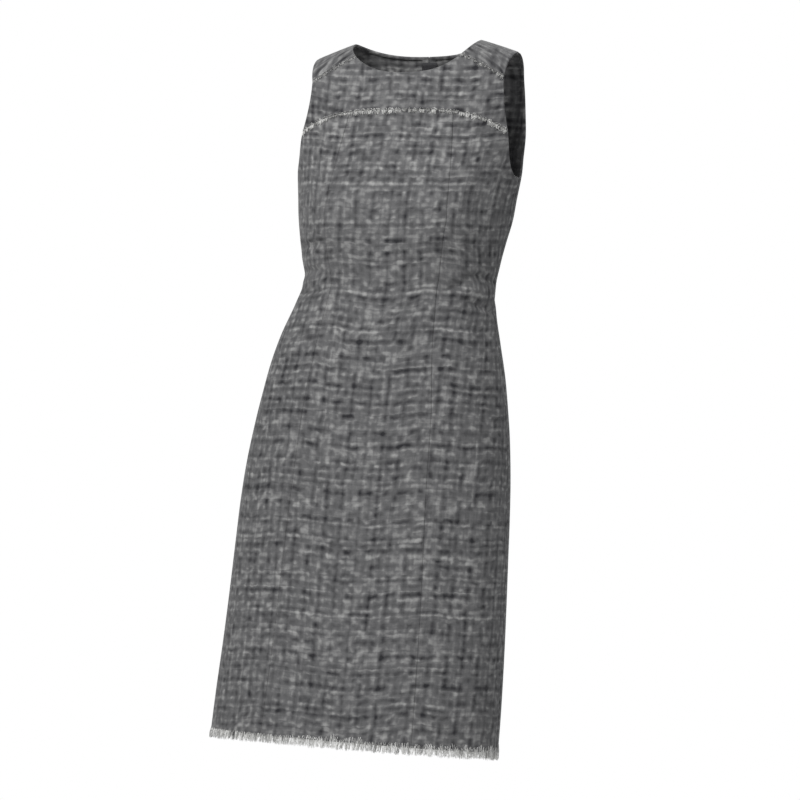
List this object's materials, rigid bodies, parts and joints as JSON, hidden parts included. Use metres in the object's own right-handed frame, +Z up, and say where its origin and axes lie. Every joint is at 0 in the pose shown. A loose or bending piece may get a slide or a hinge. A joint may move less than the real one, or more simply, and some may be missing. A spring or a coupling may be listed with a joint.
{
  "type": "sheath dress",
  "caption": "Sleeveless sheath dress in checked tweed, hollow as when worn, with a round neck, front yoke, panel seams, frayed edges and a back zip with a hinged pull",
  "frame": {"origin": "midway between the two shoulders, at the height of the side of the neck, where the wearer carries the dress", "axes": "+Z up, the front faces -Y, the wearer's left is +X; the body leans so that the skirt swings towards -X"},
  "size_m": [0.4292, 0.252, 0.9798],
  "materials": {
    "tweed": "slubby black, grey and white check tweed, matt",
    "yarn_ends": "frayed off-white and grey yarn ends",
    "zip_cloth": "dark woven zip tape with a fine coil",
    "dark_metal": "dark grey lacquered metal, half gloss"
  },
  "bodies": {
    "dress": {"front_yoke": "tweed", "front_centre": "tweed", "front_side_left": "tweed", "front_side_right": "tweed", "back_left": "tweed", "back_right": "tweed", "fringe_yoke": "yarn_ends", "fringe_shoulder_left": "yarn_ends", "fringe_shoulder_right": "yarn_ends", "fringe_hem": "yarn_ends", "zip_tape": "zip_cloth", "zip_slider": "dark_metal"},
    "pull": {"zip_pull": "dark_metal"}
  },
  "joints": [
    {"name": "pull_hinge", "type": "hinge", "parent": "dress", "child": "pull", "pos_m": [-0.00117, 0.07704, -0.03302], "axis": [0.9998, 0, 0.0183], "range_deg": [0, 160]}
  ]
}
